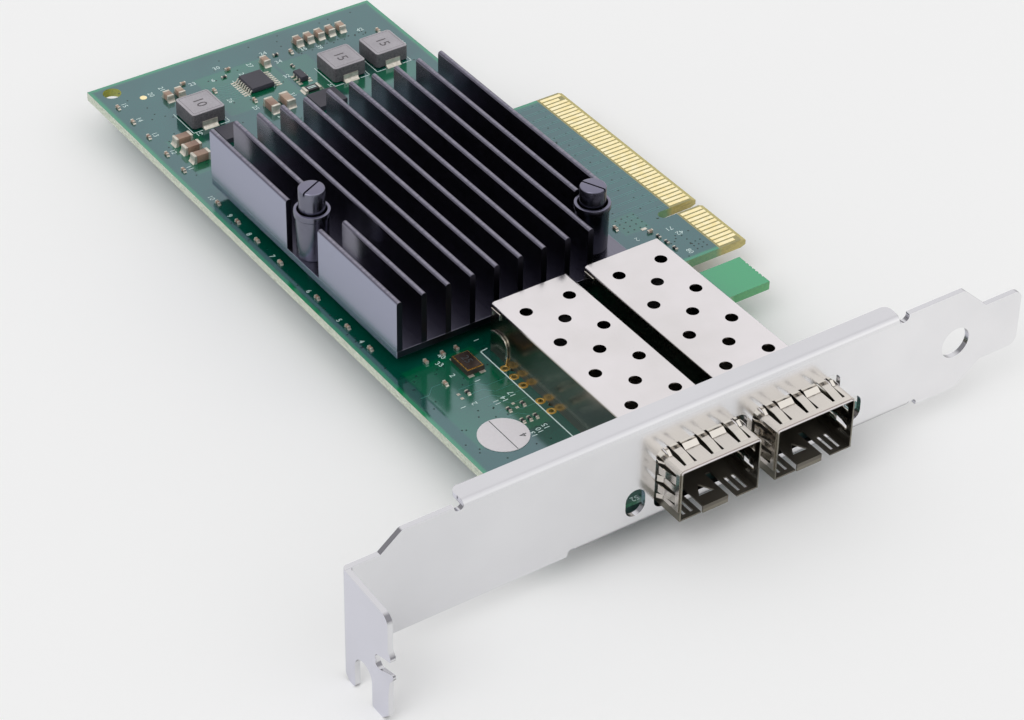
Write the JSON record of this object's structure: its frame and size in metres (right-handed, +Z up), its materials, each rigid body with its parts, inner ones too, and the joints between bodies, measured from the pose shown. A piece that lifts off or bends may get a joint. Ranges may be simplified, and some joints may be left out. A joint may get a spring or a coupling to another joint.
{
  "type": "network interface card",
  "caption": "Network interface card with pluggable-transceiver cages, a finned heat sink on push pins, a card-edge connector and a full-height slot bracket.",
  "frame": {"origin": "centre of the bounding box in plan, at the level of the screw tab's lowest edge", "axes": "+Y from the bracket towards the far end of the board, +Z up from the component side, +X from the screw tab towards the bracket's tongue and the card edge"},
  "size_m": [0.1214, 0.154, 0.023],
  "materials": {
    "bracket_steel": "satin",
    "cage_steel": "plated",
    "spring_steel": "plated",
    "screw_steel": "plated",
    "coil_steel": "drawn wire",
    "board_laminate": "solder mask",
    "gold": "gold plated",
    "tin": "tinned",
    "black_anodised": "anodised",
    "dark_nylon": "moulded",
    "connector_resin": "moulded",
    "chip_resin": "moulded",
    "chip_substrate": "laminate",
    "gap_pad": "soft pad",
    "inductor_composite": "pressed powder",
    "capacitor_ceramic": "fired ceramic",
    "resistor_ceramic": "glazed",
    "crystal_ceramic": "fired ceramic",
    "lid_metal": "plated",
    "label_paper": "printed paper"
  },
  "bodies": {
    "root": {"bracket": "bracket_steel", "board": "board_laminate", "edge_contacts": "gold", "plated_holes": "gold", "bracket_screws": "screw_steel", "controller_joints": "tin", "controller_substrate": "chip_substrate", "controller_cap": "chip_resin", "thermal_pad": "gap_pad", "heat_sink": "black_anodised", "regulator_body": "chip_resin", "regulator_leads": "tin", "switch_body": "chip_resin", "switch_leads": "tin", "input_power_stage": "chip_resin", "output_power_stage": "chip_resin", "crystal_case": "crystal_ceramic", "crystal_lid": "lid_metal", "large_capacitor_bodies": "capacitor_ceramic", "large_capacitor_ends": "tin", "medium_capacitor_bodies": "capacitor_ceramic", "medium_capacitor_ends": "tin", "small_capacitor_bodies": "capacitor_ceramic", "small_capacitor_ends": "tin", "sense_resistor_body": "resistor_ceramic", "sense_resistor_ends": "tin", "small_resistor_bodies": "resistor_ceramic", "small_resistor_ends": "tin", "round_label": "label_paper", "left_cage_shell": "cage_steel", "left_cage_floor": "cage_steel", "left_spring_collar": "spring_steel", "left_connector_housing": "connector_resin", "left_connector_terminals": "gold", "left_pin_sleeve": "dark_nylon", "left_pin_plunger": "dark_nylon", "left_pin_spring": "coil_steel", "right_cage_shell": "cage_steel", "right_cage_floor": "cage_steel", "right_spring_collar": "spring_steel", "right_connector_housing": "connector_resin", "right_connector_terminals": "gold", "right_pin_sleeve": "dark_nylon", "right_pin_plunger": "dark_nylon", "right_pin_spring": "coil_steel", "input_inductor_body": "inductor_composite", "input_inductor_terminals": "tin", "first_output_inductor_body": "inductor_composite", "first_output_inductor_terminals": "tin", "second_output_inductor_body": "inductor_composite", "second_output_inductor_terminals": "tin"}
  },
  "joints": []
}
